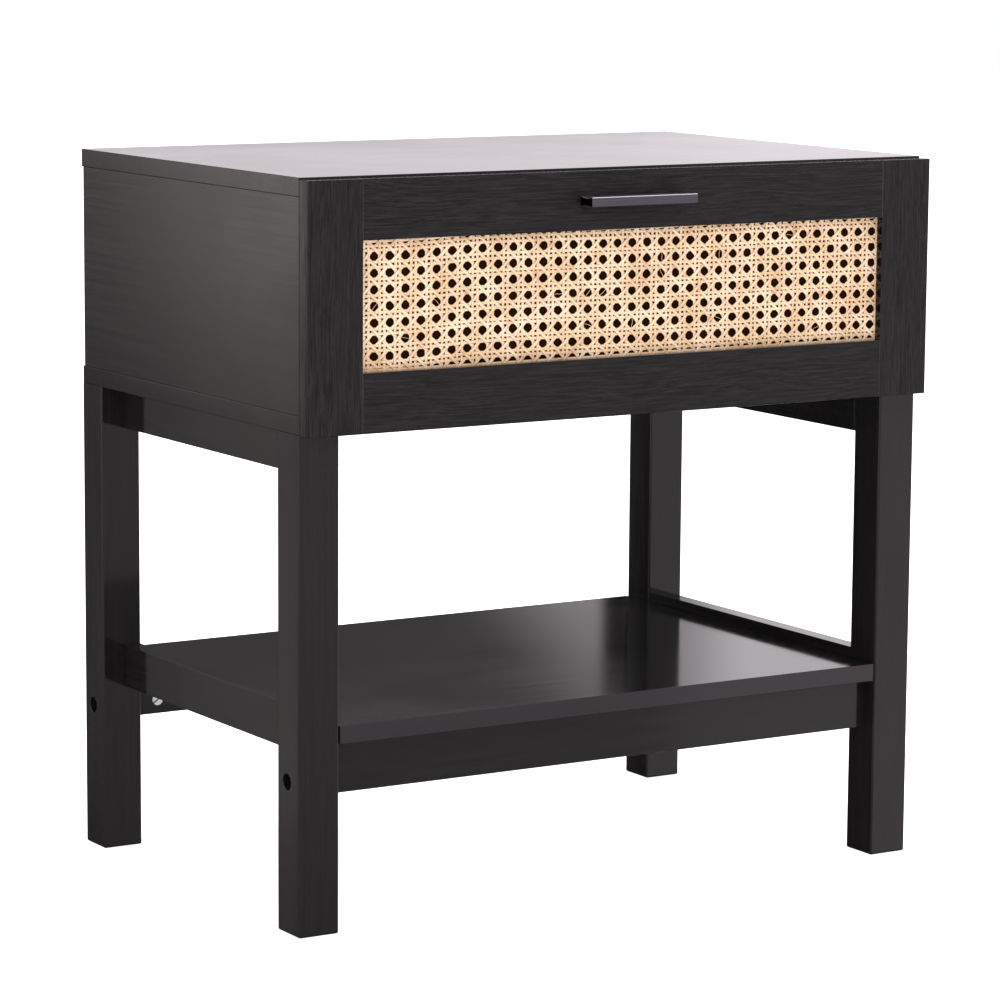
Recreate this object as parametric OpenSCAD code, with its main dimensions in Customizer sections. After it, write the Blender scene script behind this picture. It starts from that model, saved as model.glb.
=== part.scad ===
// Nightstand: a one-drawer carcass on a four-legged stand with a low shelf.
// X runs to the right, Y to the back, Z up. The origin is on the floor, in the
// middle of the outer box, which includes the pull in front of the drawer.

/* [Overall] */
// Width of the carcass and of the drawer front
width = 600; // [480:10:800]
// Depth from the face of the drawer front to the back
depth = 401.5; // [380:0.5:460]
// Height of the legs, up to the underside of the carcass
leg_h = 404; // [340:2:460]
// Height of the carcass
carcass_h = 201; // [196:1:230]
// Thickness of the boards
board_t = 15; // [15:1:16]

/* [Drawer front] */
// Thickness of the frame around the cane
front_t = 14; // [14:0.5:18]
// Gap between the closed front and the carcass
front_gap = 0.4; // [0.3:0.1:1]
// Height of the drawer front
front_h = 200; // [195:0.5:230]
// How far the front's lower edge hangs below the carcass
front_drop = 0.5; // [0:0.1:1]
// Width of the two stiles
stile_w = 49; // [45:1:60]
// Height of the top rail
top_rail_h = 48; // [46:0.5:54]
// Height of the bottom rail
bottom_rail_h = 48; // [45:0.5:52]
// Depth of the cane behind the face
cane_set = 7; // [6:0.5:8]
// Thickness of the cane webbing
cane_t = 1.2; // [1:0.1:1.5]
// Thickness of the black board behind the cane
backing_t = 3; // [2.5:0.5:3.5]
// Width of the rebate that holds the cane
rebate_w = 8; // [7:0.5:9]

/* [Pull] */
// Length of the pull
pull_len = 102; // [90:2:160]
// How far the pull stands out
pull_out = 18; // [16:1:22]
// Height of the pull's flanges
pull_h = 8; // [8:0.5:11]
// Distance between the pull's two screws
pull_pitch = 64; // [50:2:80]

/* [Stand] */
// Side of the square legs
leg_s = 36; // [32:1:40]
// Radius of the legs' upright arrises
leg_r = 1.5; // [1:0.5:4]
// Chamfer around the legs' feet
foot_chamfer = 1; // [1:0.5:3]
// Inset of the legs from the carcass sides
leg_inset = 0; // [0:0.5:3]
// Height of the aprons and of the side rails
side_rail_h = 36.5; // [34:0.5:40]
// Height of the side rails' lower edge above the floor
side_rail_z = 142; // [130:1:150]
// Top of the shelf above the floor
shelf_z = 169.5; // [168:0.5:172]
// Height of the stretchers under the shelf
stretcher_h = 42.5; // [40:0.5:46]
// How far the stretchers lie behind the legs' front faces
stretcher_set = 13; // [12:0.5:15]
// Height of the stretcher bolts above the floor
bolt_z = 124.3; // [123:0.1:126]
// How far the glides hold the legs off the floor
glide_lift = 0.5; // [0.5:0.1:1.5]

/* [Drawer box] */
// Depth of the drawer box
box_len = 355; // [330:5:365]
// Height of the drawer box
box_h = 142; // [138:1:146]
// Gap between the drawer box and the carcass floor
box_lift = 13; // [11:1:15]
// Thickness of the drawer box sides
box_t = 12; // [12:1:14]
// Thickness of the drawer bottom
box_bottom_t = 5; // [4:0.5:6]

/* [Slides] */
// Length of the slide members
slide_len = 350; // [320:5:360]
// Length of the ball cages
cage_len = 160; // [120:20:160]
// Number of balls in each row of a cage
balls = 8; // [4:1:8]

/* [Hidden] */
$fn = 32;

lacquer = [0.18, 0.175, 0.18];
bare_wood = [0.72, 0.58, 0.42];
cane_tone = [0.93, 0.79, 0.58];
zinc = [0.78, 0.79, 0.8];
pull_tone = [0.4, 0.39, 0.42];
black_board = [0.05, 0.045, 0.045];
nylon = [0.85, 0.85, 0.82];

// Clearance between a fastener and its bore
slack = 0.05;
// Clearance between panels that drop into grooves and rebates
play = 0.5;
// How far a cutting shape runs past the face that it cuts
over = 1;
// Room beyond the end of a bolt or screw in its bore
end_gap = 0.5;
// Radius of the wood screws that hold the slides and the drawer front
screw_r = 1.75;

half_w = width / 2;
front_y = (pull_out - depth) / 2;
carcass_y0 = front_y + front_t + front_gap;
carcass_y1 = front_y + depth;
top_z = leg_h + carcass_h;
front_z0 = leg_h - front_drop;
front_z1 = front_z0 + front_h;
inner_x = half_w - board_t;
inner_z0 = leg_h + board_t;
inner_z1 = top_z - board_t;

// The back panel covers the rear edges of the sides, just inside the top and bottom panels
back_t = 3;
back_set = 1;
back_edge = 3;
side_y1 = carcass_y1 - back_set - back_t;
back_screws_z = [inner_z0 + 22, (inner_z0 + inner_z1) / 2, inner_z1 - 22];
back_screw_r = 1.25;
back_screw_in = 13;
back_screw_head_r = 3;

// Cam fittings and dowels of the carcass, all in the middle of the side panels
joint_x = half_w - board_t / 2;
cam_ys = [carcass_y0 + 60, side_y1 - 60];
dowel_ys = [carcass_y0 + 28, side_y1 - 28];
cam_r = 7.4;
cam_deep = 12.2;
cam_play = 0.1;
cam_reach = 34;
cam_bolt_sink = 10;
cam_bolt_r = 2.5;
dowel_r = 4;
carcass_dowel_sink = 10;
carcass_dowel_len = 30;

// Legs: the front pair is flush with the carcass front, the back pair with its back
leg_x1 = half_w - leg_inset;
leg_x0 = leg_x1 - leg_s;
leg_front_y = carcass_y0;
leg_back_y = carcass_y1 - leg_s;
rail_x1 = leg_x0 + board_t;
rail_xc = leg_x0 + board_t / 2;
apron_z = leg_h - side_rail_h;
rail_y0 = leg_front_y + leg_s;
rail_y1 = leg_back_y;
shelf_z0 = shelf_z - board_t;
shelf_gap = 1;
stretcher_z0 = shelf_z0 - stretcher_h;
stretcher_mid = stretcher_set + board_t / 2;
frame_dowel_spread = 9;
frame_dowel_sink = 12;
frame_dowel_len = 30;
stretcher_dowel_z = bolt_z + 16.7;
shelf_dowel_in = 80;
shelf_dowel_down = 20;
shelf_dowel_up = 10;

// M6 bolts with sunk heads
bolt_r = 3;
bolt_hole_r = 3.3;
bolt_head_r = 5;
bolt_head_h = 6;
sink_r = 6.5;
sink_deep = 15;
bolt_len = 55;
bolt_seat_x = leg_x1 - sink_deep;
bolt_end_x = bolt_seat_x - bolt_len;
nut_r = 5;
nut_len = 13;
nut_in = 22.5;
leg_bolt_x = leg_x0 + 11;
leg_bolt_in = 12;
insert_r = 5;
insert_len = 15;
glide_r = 9;
glide_deep = 1.5;
glide_nail_r = 1;
glide_nail_len = 13;

// Opening in the drawer front, and the screws and dowels around it
open_x = half_w - stile_w;
open_z0 = front_z0 + bottom_rail_h;
open_z1 = front_z1 - top_rail_h;
bead_t = front_t - cane_set - cane_t - backing_t;
hold = rebate_w - play;
pull_z = front_z1 - top_rail_h / 2;
pull_screw_r = 2;
pull_screw_in = 10;
bead_gap = 0.3;
frame_dowel_r = 3;
frame_dowel_half = 18;
front_dowel_zs = [front_z0 + 11, front_z0 + 30, front_z1 - 29, front_z1 - 10];

// Drawer box
slide_t = 12.7;
box_x = inner_x - slide_t;
box_in_x = box_x - box_t;
box_y0 = front_y + front_t;
box_y1 = box_y0 + box_len;
box_z0 = inner_z0 + box_lift;
box_z1 = box_z0 + box_h;
box_joint_ys = [box_y0 + box_t / 2, box_y1 - box_t / 2];
groove = 6;
groove_play = 0.1;
groove_gap = 0.3;
box_bottom_z = box_z0 + 12;
bottom_screw_r = 1.5;
bottom_screw_up = 12;
box_dowel_zs = [box_z0 + 42, box_z1 - 26];
box_dowel_sink = 8;
box_dowel_len = 30;
fixing_xs = [-200, 0, 200];
fixing_zs = [box_z0 + 5, box_z1 - 5.5];
fixing_in = 10;

// Ball-bearing slides, drawn as sections in (depth from the carcass wall, height)
slide_z = (box_z0 + box_z1) / 2;
slide_y0 = carcass_y0 + 1.5;
steel_t = 1.2;
outer_flange = 9;
outer_half = 22.5;
middle_web = 3.6;
middle_flange = 10.6;
middle_half = 17.5;
inner_flange = 6;
inner_half = 12.5;
cage_y0 = slide_y0 + 95;
ball_r = 1.75;
ball_play = 0.15;
cage_t = 0.5;
slide_screw_ys = [slide_y0 + 25, slide_y0 + slide_len / 2, slide_y0 + slide_len - 25];
slide_screw_in = 8.5;
slide_head_r = 3.2;
slide_head_t = 0.7;

// A box between two corners
module block(low, high) {
    translate(low) cube(high - low);
}

// Draws its children on the right and, mirrored, on the left
module both_sides() {
    children();
    mirror([1, 0, 0]) children();
}

// Draws its children on the left when side is -1
module on_side(side) {
    flip = side < 0 ? 1 : 0;
    mirror([flip, 0, 0]) children();
}

// A quarter circle of points around a centre
function arc(centre, r, start, steps = 4) = [
    for (i = [0:steps]) centre + r * [cos(start + 90 * i / steps), sin(start + 90 * i / steps)]
];

// A rectangle from the origin with eased corners
function eased_outline(w, d, r) = concat(
    arc([w - r, d - r], r, 0),
    arc([r, d - r], r, 90),
    arc([r, r], r, 180),
    arc([w - r, r], r, 270)
);

// A rod along an axis, from its start
module rod_x(start, len, r) {
    translate(start) rotate([0, 90, 0]) cylinder(h = len, r = r);
}

module rod_y(start, len, r) {
    translate(start) rotate([-90, 0, 0]) cylinder(h = len, r = r);
}

module rod_z(start, len, r) {
    translate(start) cylinder(h = len, r = r);
}

// ---- Carcass ----

// Places its children at each joint of the side panels, at the top or the bottom
module at_carcass_joints(ys, z) {
    both_sides() for (y = ys) translate([joint_x, y, z]) children();
}

// A full-width panel with its rear corners eased
module wide_panel(z) {
    corner_r = 2;
    translate([0, carcass_y0, z])
        linear_extrude(board_t)
            polygon(concat(
                [[-half_w, 0], [half_w, 0]],
                arc([half_w - corner_r, carcass_y1 - carcass_y0 - corner_r], corner_r, 0),
                arc([corner_r - half_w, carcass_y1 - carcass_y0 - corner_r], corner_r, 90)
            ));
}

module top_panel() {
    color(lacquer) difference() {
        wide_panel(inner_z1);
        at_carcass_joints(dowel_ys, inner_z1)
            rod_z([0, 0, -over], carcass_dowel_sink + over, dowel_r + slack);
        at_carcass_joints(cam_ys, inner_z1)
            rod_z([0, 0, -over], cam_bolt_sink + over, cam_bolt_r + slack);
    }
}

module bottom_panel() {
    color(lacquer) difference() {
        wide_panel(leg_h);
        at_carcass_joints(dowel_ys, inner_z0)
            rod_z([0, 0, -carcass_dowel_sink], carcass_dowel_sink + over, dowel_r + slack);
        at_carcass_joints(cam_ys, inner_z0)
            rod_z([0, 0, -cam_bolt_sink], cam_bolt_sink + over, cam_bolt_r + slack);
        at_leg_bolts() {
            rod_z([0, 0, -over], board_t + 2 * over, bolt_hole_r);
            rod_z([0, 0, board_t - bolt_head_h], bolt_head_h + over, bolt_head_r + 0.5);
        }
    }
}

// Bores of one side panel's top or bottom edge, with the edge at z = 0 and the panel below
module side_edge_bores() {
    for (y = dowel_ys)
        rod_z([joint_x, y, carcass_dowel_sink - carcass_dowel_len], carcass_dowel_len, dowel_r + slack);
    for (y = cam_ys) {
        rod_z([joint_x, y, -cam_reach], cam_reach + over, dowel_r);
        rod_x([inner_x - over, y, -cam_reach], over + cam_deep + cam_play, cam_r + cam_play);
    }
}

module side_panel(side) {
    color(lacquer) on_side(side) difference() {
        block([inner_x, carcass_y0, inner_z0], [half_w, side_y1, inner_z1]);
        translate([0, 0, inner_z1]) side_edge_bores();
        translate([0, 0, inner_z0]) mirror([0, 0, 1]) side_edge_bores();
        for (z = back_screws_z)
            rod_y([joint_x, side_y1 - back_screw_in - end_gap, z],
                back_screw_in + end_gap + over, back_screw_r + slack);
        for (y = slide_screw_ys)
            rod_x([inner_x - over, y, slide_z], over + slide_screw_in + end_gap, screw_r + slack);
    }
}

module side_panel_left() {
    side_panel(-1);
}

module side_panel_right() {
    side_panel(1);
}

module back_panel() {
    color(black_board) difference() {
        block([back_edge - half_w, side_y1, inner_z0], [half_w - back_edge, side_y1 + back_t, inner_z1]);
        both_sides() for (z = back_screws_z)
            rod_y([joint_x, side_y1 - over, z], back_t + 2 * over, back_screw_r + slack);
    }
}

module carcass_dowels() {
    color(bare_wood) {
        at_carcass_joints(dowel_ys, inner_z1)
            rod_z([0, 0, carcass_dowel_sink - carcass_dowel_len], carcass_dowel_len, dowel_r);
        at_carcass_joints(dowel_ys, inner_z0)
            rod_z([0, 0, -carcass_dowel_sink], carcass_dowel_len, dowel_r);
    }
}

// A cam with a cross slot on its face and a hollow for the bolt, which comes from dir * Z
module cam_lock(dir) {
    slot_w = 1.6;
    slot_l = 7;
    slot_deep = 2.5;
    hollow_r = 3.6;
    hollow_past = 3;
    hollow_len = cam_r + over + hollow_past;
    difference() {
        rod_x([0, 0, 0], cam_deep, cam_r);
        for (a = [0, 90])
            rotate([a, 0, 0]) block([-over, -slot_l / 2, -slot_w / 2], [slot_deep, slot_l / 2, slot_w / 2]);
        translate([joint_x - inner_x, 0, dir > 0 ? -hollow_past : hollow_past - hollow_len])
            rod_z([0, 0, 0], hollow_len, hollow_r);
    }
}

module cam_locks() {
    color(zinc) both_sides() for (y = cam_ys) {
        translate([inner_x, y, inner_z1 - cam_reach]) cam_lock(1);
        translate([inner_x, y, inner_z0 + cam_reach]) cam_lock(-1);
    }
}

// A cam bolt that hangs from z = 0, with its thread above
module cam_bolt() {
    stem_r = 2;
    head_r = 3.3;
    head_half = 2;
    rod_z([0, 0, 0], cam_bolt_sink, cam_bolt_r);
    rod_z([0, 0, head_half - cam_reach], cam_reach - head_half, stem_r);
    rod_z([0, 0, -cam_reach - head_half], 2 * head_half, head_r);
}

module cam_bolts() {
    color(zinc) {
        at_carcass_joints(cam_ys, inner_z1) cam_bolt();
        at_carcass_joints(cam_ys, inner_z0) mirror([0, 0, 1]) cam_bolt();
    }
}

module back_panel_screws() {
    color(zinc) both_sides() for (z = back_screws_z) {
        rod_y([joint_x, side_y1 + back_t, z], back_set, back_screw_head_r);
        rod_y([joint_x, side_y1 - back_screw_in, z], back_screw_in + back_t, back_screw_r);
    }
}

// ---- Stand ----

// Places its children at the foot of each leg bolt, on the underside of the carcass
module at_leg_bolts() {
    both_sides() for (y = [leg_front_y, leg_back_y])
        translate([leg_bolt_x, y + leg_s / 2, leg_h]) children();
}

// Cuts the lower arrises of a leg that stands on the centre of the plane z = 0
module foot_cuts() {
    in = leg_s / 2 - foot_chamfer - over;
    out = leg_s / 2 + over;
    for (a = [0, 90, 180, 270])
        rotate([0, 0, a]) translate([-out, 0, 0]) rotate([90, 0, 90])
            linear_extrude(2 * out) polygon([[in, -over], [out, -over], [out, foot_chamfer + over]]);
}

// The right-hand leg whose front face is at y; its rail joins at its back or its front
module leg(y, rail_behind) {
    joint_y = rail_behind ? y + leg_s - frame_dowel_sink : y - over;
    difference() {
        translate([leg_x0, y, glide_lift])
            linear_extrude(leg_h - glide_lift) polygon(eased_outline(leg_s, leg_s, leg_r));
        rod_x([leg_x0 - over, y + stretcher_mid, bolt_z], leg_s + 2 * over, bolt_hole_r);
        rod_x([bolt_seat_x, y + stretcher_mid, bolt_z], sink_deep + over, sink_r);
        rod_x([leg_x0 - over, y + stretcher_mid, stretcher_dowel_z], frame_dowel_sink + over, dowel_r + slack);
        for (z = frame_dowel_zs())
            rod_y([rail_xc, joint_y, z], frame_dowel_sink + over, dowel_r + slack);
        rod_z([leg_bolt_x, y + leg_s / 2, leg_h - insert_len], insert_len + over, insert_r + slack);
        translate([leg_x0 + leg_s / 2, y + leg_s / 2, 0]) {
            rod_z([0, 0, -over], over + glide_lift + glide_deep, glide_r + 0.2);
            rod_z([0, 0, 0], glide_lift + glide_nail_len + end_gap, glide_nail_r + slack);
            translate([0, 0, glide_lift]) foot_cuts();
        }
    }
}

module leg_front_left() {
    color(lacquer) on_side(-1) leg(leg_front_y, true);
}

module leg_front_right() {
    color(lacquer) leg(leg_front_y, true);
}

module leg_back_left() {
    color(lacquer) on_side(-1) leg(leg_back_y, false);
}

module leg_back_right() {
    color(lacquer) leg(leg_back_y, false);
}

// Heights of the dowels in the side frames, two for each apron end and rail end
function frame_dowel_zs() = [
    for (z = [side_rail_z, apron_z]) for (s = [-1, 1]) z + side_rail_h / 2 + s * frame_dowel_spread
];

// A board between the front and back legs, on the right
module side_board(z) {
    socket = frame_dowel_len - frame_dowel_sink;
    difference() {
        block([leg_x0, rail_y0, z], [rail_x1, rail_y1, z + side_rail_h]);
        for (s = [-1, 1]) {
            dowel_z = z + side_rail_h / 2 + s * frame_dowel_spread;
            rod_y([rail_xc, rail_y0 - over, dowel_z], socket + over, dowel_r + slack);
            rod_y([rail_xc, rail_y1 - socket, dowel_z], socket + over, dowel_r + slack);
        }
    }
}

module apron_left() {
    color(lacquer) on_side(-1) side_board(apron_z);
}

module apron_right() {
    color(lacquer) side_board(apron_z);
}

module side_rail_left() {
    color(lacquer) on_side(-1) side_board(side_rail_z);
}

module side_rail_right() {
    color(lacquer) side_board(side_rail_z);
}

module side_frame_dowels() {
    color(bare_wood) both_sides() for (z = frame_dowel_zs()) {
        rod_y([rail_xc, rail_y0 - frame_dowel_sink, z], frame_dowel_len, dowel_r);
        rod_y([rail_xc, rail_y1 + frame_dowel_sink - frame_dowel_len, z], frame_dowel_len, dowel_r);
    }
}

// Places its children at each shelf dowel, where the shelf lies on the stretchers
module at_shelf_dowels() {
    both_sides() for (y = [leg_front_y, leg_back_y])
        translate([leg_x0 - shelf_dowel_in, y + stretcher_mid, shelf_z0]) children();
}

module shelf() {
    color(lacquer) difference() {
        block([shelf_gap - leg_x0, leg_front_y, shelf_z0], [leg_x0 - shelf_gap, carcass_y1, shelf_z]);
        at_shelf_dowels() rod_z([0, 0, -over], over + shelf_dowel_up, dowel_r + slack);
    }
}

// Places its children at each barrel nut's face, on the inner side of its stretcher
module at_nuts() {
    both_sides() {
        translate([leg_x0 - nut_in, leg_front_y + stretcher_set + board_t, bolt_z])
            mirror([0, 1, 0]) children();
        translate([leg_x0 - nut_in, leg_back_y + stretcher_set, bolt_z]) children();
    }
}

// The stretcher between the legs whose front faces are at y
module stretcher(y) {
    y0 = y + stretcher_set;
    socket = frame_dowel_len - frame_dowel_sink;
    difference() {
        block([-leg_x0, y0, stretcher_z0], [leg_x0, y0 + board_t, shelf_z0]);
        both_sides() {
            rod_x([bolt_end_x - end_gap, y + stretcher_mid, bolt_z],
                leg_x0 + over - bolt_end_x + end_gap, bolt_hole_r);
            rod_x([leg_x0 - socket, y + stretcher_mid, stretcher_dowel_z], socket + over, dowel_r + slack);
        }
        at_nuts() rod_y([0, -over, 0], over + nut_len + slack, nut_r + slack);
        at_shelf_dowels() rod_z([0, 0, -shelf_dowel_down], shelf_dowel_down + over, dowel_r + slack);
    }
}

module front_stretcher() {
    color(lacquer) stretcher(leg_front_y);
}

module back_stretcher() {
    color(lacquer) stretcher(leg_back_y);
}

module stretcher_dowels() {
    color(bare_wood) both_sides() for (y = [leg_front_y, leg_back_y]) {
        start = leg_x0 + frame_dowel_sink - frame_dowel_len;
        rod_x([start, y + stretcher_mid, stretcher_dowel_z], frame_dowel_len, dowel_r);
    }
}

module shelf_dowels() {
    color(bare_wood) at_shelf_dowels()
        rod_z([0, 0, -shelf_dowel_down], shelf_dowel_down + shelf_dowel_up, dowel_r);
}

// A socket-head bolt along -X, with the seat of its head at x = 0
module socket_bolt(len) {
    socket_r = 2.9;
    socket_deep = 3;
    difference() {
        union() {
            rod_x([0, 0, 0], bolt_head_h, bolt_head_r);
            rod_x([-len, 0, 0], len, bolt_r);
        }
        translate([bolt_head_h - socket_deep, 0, 0])
            rotate([0, 90, 0]) cylinder(h = socket_deep + over, r = socket_r, $fn = 6);
    }
}

module stretcher_bolts() {
    color(black_board) both_sides() for (y = [leg_front_y, leg_back_y])
        translate([bolt_seat_x, y + stretcher_mid, bolt_z]) socket_bolt(bolt_len);
}

// Barrel nuts with a driver slot, flush with the inner face of each stretcher
module barrel_nuts() {
    slot_half = 0.6;
    slot_deep = 1.5;
    slot_turn = 35;
    color(zinc) at_nuts() difference() {
        rod_y([0, 0, 0], nut_len, nut_r);
        rod_x([-nut_r - over, board_t / 2, 0], 2 * (nut_r + over), bolt_r + slack);
        rotate([0, slot_turn, 0])
            block([-nut_r - over, -over, -slot_half], [nut_r + over, slot_deep, slot_half]);
    }
}

module leg_top_bolts() {
    seat = board_t - bolt_head_h;
    color(zinc) at_leg_bolts() translate([0, 0, seat]) rotate([0, -90, 0]) socket_bolt(seat + leg_bolt_in);
}

module leg_inserts() {
    color(zinc) at_leg_bolts() difference() {
        rod_z([0, 0, -insert_len], insert_len, insert_r);
        rod_z([0, 0, -insert_len - over], insert_len + 2 * over, bolt_r + slack);
    }
}

module foot_glides() {
    color(nylon) both_sides() for (y = [leg_front_y, leg_back_y])
        translate([leg_x0 + leg_s / 2, y + leg_s / 2, 0]) {
            rod_z([0, 0, 0], glide_lift + glide_deep, glide_r);
            rod_z([0, 0, glide_lift], glide_nail_len, glide_nail_r);
        }
}

// ---- Drawer front ----

// The bores of the frame dowels, at both ends of the rails
module frame_dowel_bores() {
    for (z = front_dowel_zs)
        rod_x([open_x - frame_dowel_half, front_y + front_t / 2, z],
            2 * frame_dowel_half, frame_dowel_r + slack);
}

module stile(side) {
    color(lacquer) on_side(side) difference() {
        block([open_x, front_y, front_z0], [half_w, box_y0, front_z1]);
        block([open_x - over, front_y + cane_set, open_z0 - rebate_w],
            [open_x + rebate_w, box_y0 + over, open_z1 + rebate_w]);
        frame_dowel_bores();
    }
}

module stile_left() {
    stile(-1);
}

module stile_right() {
    stile(1);
}

// Bores in the back of a rail for the screws from the drawer box
module fixing_bores(z) {
    at_fixing_screws(z) rod_y([0, -fixing_in - end_gap, 0], fixing_in + end_gap + over, screw_r + slack);
}

module top_rail() {
    color(lacquer) difference() {
        block([-open_x, front_y, open_z1], [open_x, box_y0, front_z1]);
        block([-open_x - over, front_y + cane_set, open_z1 - over],
            [open_x + over, box_y0 + over, open_z1 + rebate_w]);
        both_sides() frame_dowel_bores();
        at_pull_screws() rod_y([0, -over, 0], front_t + 2 * over, pull_screw_r + 0.2);
        fixing_bores(fixing_zs[1]);
    }
}

module bottom_rail() {
    color(lacquer) difference() {
        block([-open_x, front_y, front_z0], [open_x, box_y0, open_z0]);
        block([-open_x - over, front_y + cane_set, open_z0 - rebate_w],
            [open_x + over, box_y0 + over, open_z0 + over]);
        both_sides() frame_dowel_bores();
        fixing_bores(fixing_zs[0]);
    }
}

module front_frame_dowels() {
    half = frame_dowel_half - end_gap;
    color(bare_wood) both_sides() for (z = front_dowel_zs)
        rod_x([open_x - half, front_y + front_t / 2, z], 2 * half, frame_dowel_r);
}

// A sheet in the rebate, from its front face
module rebate_sheet(y, t) {
    block([-open_x - hold, y, open_z0 - hold], [open_x + hold, y + t, open_z1 + hold]);
}

module cane_panel() {
    color(cane_tone) rebate_sheet(front_y + cane_set, cane_t);
}

module cane_backing() {
    color(black_board) rebate_sheet(front_y + cane_set + cane_t, backing_t);
}

// Four strips that hold the cane and its backing in the rebate
module cane_beads() {
    y0 = box_y0 - bead_t;
    color(lacquer) {
        for (z = [open_z0 - hold, open_z1]) block([-open_x - hold, y0, z], [open_x + hold, box_y0, z + hold]);
        both_sides()
            block([open_x, y0, open_z0 + bead_gap], [open_x + hold, box_y0, open_z1 - bead_gap]);
    }
}

// Places its children at each pull screw, on the face of the drawer front
module at_pull_screws() {
    both_sides() translate([pull_pitch / 2, front_y, pull_z]) children();
}

// Section of the pull in (depth from the drawer front, height): two flanges and a waisted neck
function pull_section() =
    let (half = pull_h / 2, front = 2.4, back = 3, waist = 2.9, neck = pull_out - front - back)
    concat(
        [[0, half], [back, half]],
        [for (i = [1:9]) [back + neck * i / 10, half - (half - waist) * pow(sin(18 * i), 0.6)]],
        [[pull_out - front, half], [pull_out, half], [pull_out, -half], [pull_out - front, -half]],
        [for (i = [9:-1:1]) [back + neck * i / 10, (half - waist) * pow(sin(18 * i), 0.6) - half]],
        [[back, -half], [0, -half]]
    );

module drawer_pull() {
    color(pull_tone) difference() {
        translate([-pull_len / 2, front_y, pull_z])
            rotate([90, 0, 90]) mirror([1, 0, 0]) linear_extrude(pull_len) polygon(pull_section());
        at_pull_screws()
            rod_y([0, -pull_screw_in - end_gap, 0], pull_screw_in + end_gap + over, pull_screw_r + slack);
    }
}

module pull_screws() {
    head_r = 3.4;
    head_t = 2.2;
    color(zinc) at_pull_screws() {
        rod_y([0, front_t, 0], head_t, head_r);
        rod_y([0, -pull_screw_in, 0], pull_screw_in + front_t, pull_screw_r);
    }
}

// ---- Drawer box ----

// Bores for the dowels that join the box front or back to one side
module box_dowel_bores(y) {
    for (z = box_dowel_zs)
        rod_x([box_in_x + box_dowel_sink - box_dowel_len, y, z], box_dowel_len, frame_dowel_r + slack);
}

module box_side(side) {
    color(bare_wood) on_side(side) difference() {
        block([box_in_x, box_y0, box_z0], [box_x, box_y1, box_z1]);
        block([box_in_x - over, box_y0 + groove, box_bottom_z - groove_play],
            [box_in_x + groove, box_y1 + over, box_bottom_z + box_bottom_t + groove_play]);
        for (y = box_joint_ys) box_dowel_bores(y);
        for (y = slide_screw_ys)
            rod_x([box_x - slide_screw_in - end_gap, y, slide_z],
                slide_screw_in + end_gap + over, screw_r + slack);
    }
}

module box_side_left() {
    box_side(-1);
}

module box_side_right() {
    box_side(1);
}

// Places its children at the fixing screws of one height, on the back of the drawer front
module at_fixing_screws(z) {
    for (x = fixing_xs) translate([x, box_y0, z]) children();
}

module box_front() {
    color(bare_wood) difference() {
        block([-box_in_x, box_y0, box_z0], [box_in_x, box_y0 + box_t, box_z1]);
        block([-box_in_x - over, box_y0 + groove, box_bottom_z - groove_play],
            [box_in_x + over, box_y0 + box_t + over, box_bottom_z + box_bottom_t + groove_play]);
        both_sides() box_dowel_bores(box_joint_ys[0]);
        for (z = fixing_zs) at_fixing_screws(z) rod_y([0, -over, 0], box_t + 2 * over, screw_r + slack);
    }
}

module box_back() {
    color(bare_wood) difference() {
        block([-box_in_x, box_y1 - box_t, box_bottom_z + box_bottom_t], [box_in_x, box_y1, box_z1]);
        both_sides() box_dowel_bores(box_joint_ys[1]);
        at_bottom_screws() rod_z([0, 0, 0], box_bottom_t + bottom_screw_up + end_gap, bottom_screw_r + slack);
    }
}

// Places its children under the drawer bottom, below the box back
module at_bottom_screws() {
    for (x = fixing_xs) translate([x, box_joint_ys[1], box_bottom_z]) children();
}

module box_bottom() {
    reach = groove - groove_gap;
    color(bare_wood) difference() {
        block([-box_in_x - reach, box_y0 + box_t - reach, box_bottom_z],
            [box_in_x + reach, box_y1, box_bottom_z + box_bottom_t]);
        at_bottom_screws() rod_z([0, 0, -over], box_bottom_t + 2 * over, bottom_screw_r + slack);
    }
}

module box_dowels() {
    start = box_in_x + box_dowel_sink - box_dowel_len + end_gap;
    color(bare_wood) both_sides() for (y = box_joint_ys) for (z = box_dowel_zs)
        rod_x([start, y, z], box_dowel_len - 2 * end_gap, frame_dowel_r);
}

module box_bottom_screws() {
    head_r = 3;
    head_t = 1.6;
    color(zinc) at_bottom_screws() {
        rod_z([0, 0, -head_t], head_t, head_r);
        rod_z([0, 0, 0], box_bottom_t + bottom_screw_up, bottom_screw_r);
    }
}

module front_fixing_screws() {
    head_r = 3.5;
    head_t = 1.8;
    color(zinc) for (z = fixing_zs) at_fixing_screws(z) {
        rod_y([0, box_t, 0], head_t, head_r);
        rod_y([0, -fixing_in, 0], box_t + fixing_in, screw_r);
    }
}

// ---- Slides ----

// A channel along Y on the right: its web from depth web_t0, its flanges from flange_t0 to flange_t1
module channel(web_t0, web_t, flange_t0, flange_t1, half_h, flange_h, y0, len) {
    block([inner_x - web_t0 - web_t, y0, slide_z - half_h], [inner_x - web_t0, y0 + len, slide_z + half_h]);
    for (z = [slide_z - half_h, slide_z + half_h - flange_h])
        block([inner_x - flange_t1, y0, z], [inner_x - flange_t0, y0 + len, z + flange_h]);
}

module slide_carcass(side) {
    color(zinc) on_side(side) difference() {
        channel(0, steel_t, 0, outer_flange, outer_half, steel_t, slide_y0, slide_len);
        for (y = slide_screw_ys)
            rod_x([inner_x - steel_t - over, y, slide_z], steel_t + 2 * over, screw_r + slack);
    }
}

module slide_middle(side) {
    color(zinc) on_side(side)
        channel(middle_web, steel_t, middle_web, middle_flange, middle_half, steel_t, slide_y0, slide_len);
}

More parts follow.
